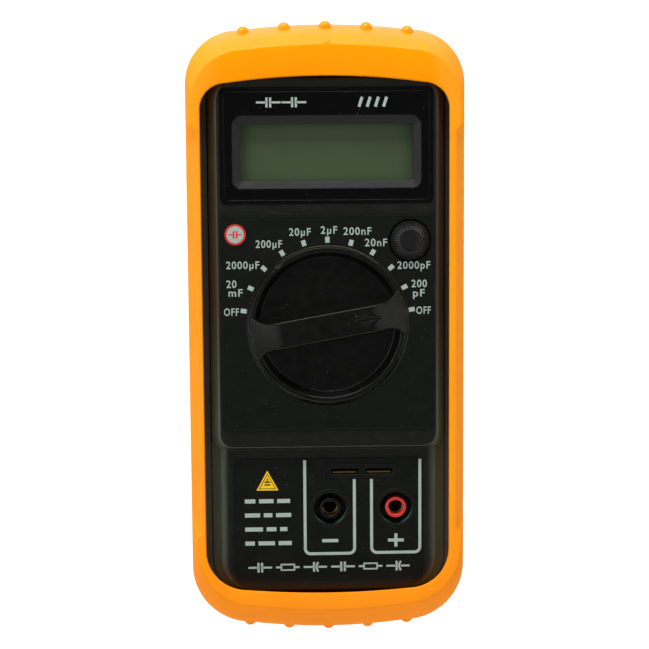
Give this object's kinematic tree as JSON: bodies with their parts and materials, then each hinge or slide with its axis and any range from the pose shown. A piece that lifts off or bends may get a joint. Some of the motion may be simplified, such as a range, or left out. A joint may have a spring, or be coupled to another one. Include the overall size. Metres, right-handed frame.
{
  "type": "component tester",
  "caption": "Handheld capacitance meter in a rubber boot, with display, rotary range selector, zero adjuster, lead socket, banana jacks, tilt stand and battery door.",
  "frame": {"origin": "under the middle of the meter as it lies on its back, on the rest plane", "axes": "+Z out of the front face, +Y from the jacks to the display, +X to the right of someone reading the display"},
  "size_m": [0.084, 0.1868, 0.042],
  "materials": {
    "boot_rubber": "satin moulded rubber",
    "case_plastic": "fine satin",
    "gloss_panel": "polished",
    "clear_lens": "clear",
    "lcd_glass": "grey-green",
    "label_film": "matt film",
    "knob_plastic": "satin",
    "red_plastic": "glossy",
    "brass": "plain",
    "steel": "plated",
    "circuit_board": "solder resist",
    "chip_plastic": "matt",
    "cream_plastic": "plain",
    "blue_plastic": "plain",
    "battery_can": "printed sleeve",
    "ink_pale": "printed ink",
    "ink_yellow": "printed ink",
    "ink_red": "printed ink"
  },
  "bodies": {
    "instrument": {"rubber_boot": "boot_rubber", "rear_case": "case_plastic", "front_case": "case_plastic", "display_panel": "gloss_panel", "display_lens": "clear_lens", "display_glass": "lcd_glass", "display_holder": "case_plastic", "connector_strip": "chip_plastic", "dial_label": "label_film", "jack_label": "label_film", "zero_adjuster_body": "blue_plastic", "negative_jack": "case_plastic", "positive_jack": "red_plastic", "negative_barrel": "brass", "positive_barrel": "brass", "lead_socket": "case_plastic", "lead_contact_left": "brass", "lead_contact_right": "brass", "main_board": "circuit_board", "converter_chip": "chip_plastic", "timer_chip": "chip_plastic", "film_capacitor_a": "cream_plastic", "film_capacitor_b": "cream_plastic", "can_capacitor": "blue_plastic", "calibration_trimmer_a": "blue_plastic", "calibration_trimmer_b": "blue_plastic", "fuse": "steel", "fuse_clip_left": "brass", "fuse_clip_right": "brass", "battery": "battery_can", "battery_snap": "chip_plastic", "battery_wire_red": "red_plastic", "battery_wire_black": "chip_plastic", "case_screw_1": "steel", "board_screw_1": "steel", "case_screw_2": "steel", "board_screw_2": "steel", "case_screw_3": "steel", "board_screw_3": "steel", "case_screw_4": "steel", "board_screw_4": "steel"},
    "range_selector": {"range_knob": "knob_plastic", "selector_rotor": "cream_plastic", "detent_ball_a": "steel", "detent_ball_b": "steel", "detent_spring_a": "steel", "detent_spring_b": "steel", "wiper_a": "brass", "wiper_b": "brass"},
    "zero_adjuster": {"zero_knob": "knob_plastic"},
    "tilt_stand": {"tilt_stand": "case_plastic"},
    "battery_cover": {"battery_door": "case_plastic", "door_screw": "steel"}
  },
  "joints": [
    {"name": "range_select", "type": "hinge", "parent": "instrument", "child": "range_selector", "pos_m": [0, 0.00335, 0.036], "axis": [0, 0, 1], "range_deg": [0, 160]},
    {"name": "zero_adjust", "type": "hinge", "parent": "instrument", "child": "zero_adjuster", "pos_m": [0.0245, 0.0283, 0.036], "axis": [0, 0, 1], "range_deg": [-140, 140]},
    {"name": "stand_hinge", "type": "hinge", "parent": "instrument", "child": "tilt_stand", "pos_m": [0, 0.02435, 0.0018], "axis": [1, 0, 0], "range_deg": [0, 65]},
    {"name": "door_lift", "type": "slide", "parent": "instrument", "child": "battery_cover", "axis": [0, 0, -1], "range_m": [0, 0.012]}
  ]
}
